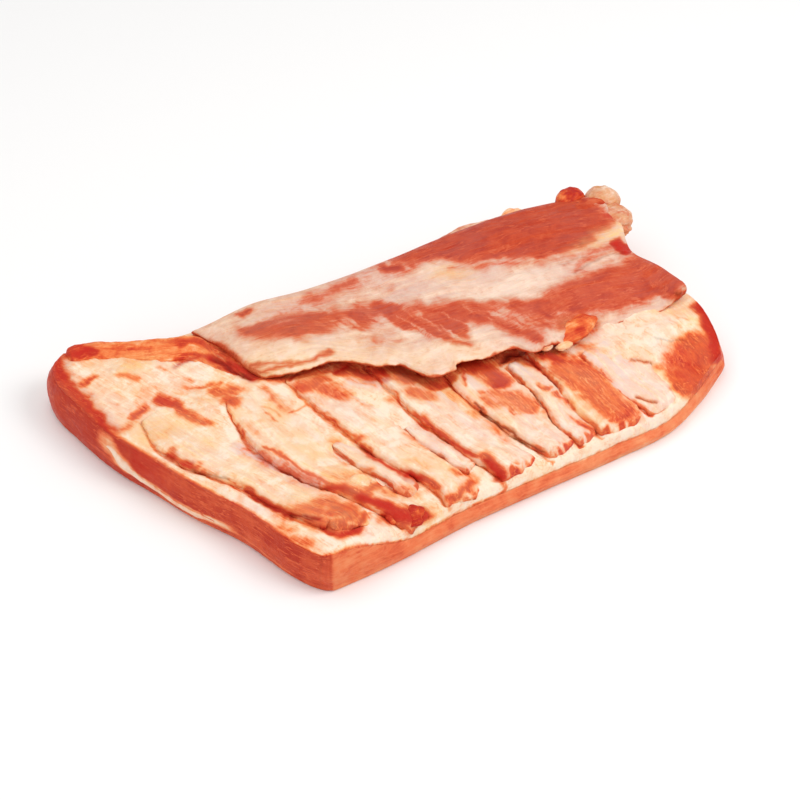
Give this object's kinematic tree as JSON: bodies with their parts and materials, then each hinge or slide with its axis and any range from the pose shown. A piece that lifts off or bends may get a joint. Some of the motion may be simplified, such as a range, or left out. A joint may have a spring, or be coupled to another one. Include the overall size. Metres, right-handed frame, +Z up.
{
  "type": "beef flank",
  "caption": "Raw boneless beef flank: a flat slab of lean with a fat cover, strips of meat from between the ribs standing on it, and a sheet of muscle over the back half.",
  "frame": {"origin": "centre of the bounding box in plan, on the flat underside that the slab rests on", "axes": "+X along the longer side, from the thick cut side towards the thin tip; +Y from the cut front edge with the strip ends towards the flap at the back; +Z up through the thickness"},
  "size_m": [0.547, 0.3525, 0.072],
  "materials": {
    "lean": "moist raw lean, cut across the grain",
    "seam_fat": "white fat, cut",
    "cover_fat": "cream fat with red and orange patches of meat, moist",
    "rib_finger": "membrane and fat over strips of meat, moist",
    "thin_strip": "pink membrane over thin strips of meat, moist",
    "rim_lean": "orange-red lean with yellow fat, moist",
    "flap": "thin muscle with bands of pale membrane, moist sheen",
    "knob_lean": "deep red lean, moist",
    "lump_fat": "cream to yellow lumps of fat"
  },
  "bodies": {
    "root": {"lean": "lean", "fat_seam": "seam_fat", "fat_cover": "cover_fat", "rib_finger_1": "rib_finger", "rib_finger_2": "rib_finger", "rib_finger_3": "rib_finger", "rib_finger_4": "rib_finger", "rib_finger_5": "rib_finger", "rib_finger_6": "rib_finger", "rib_finger_7": "rib_finger", "thin_strip_1": "thin_strip", "thin_strip_2": "thin_strip", "thin_strip_3": "thin_strip", "back_rim": "rim_lean", "flap": "flap", "tip_knob": "knob_lean", "tip_fat_back": "lump_fat", "tip_fat_side": "lump_fat"}
  },
  "joints": []
}
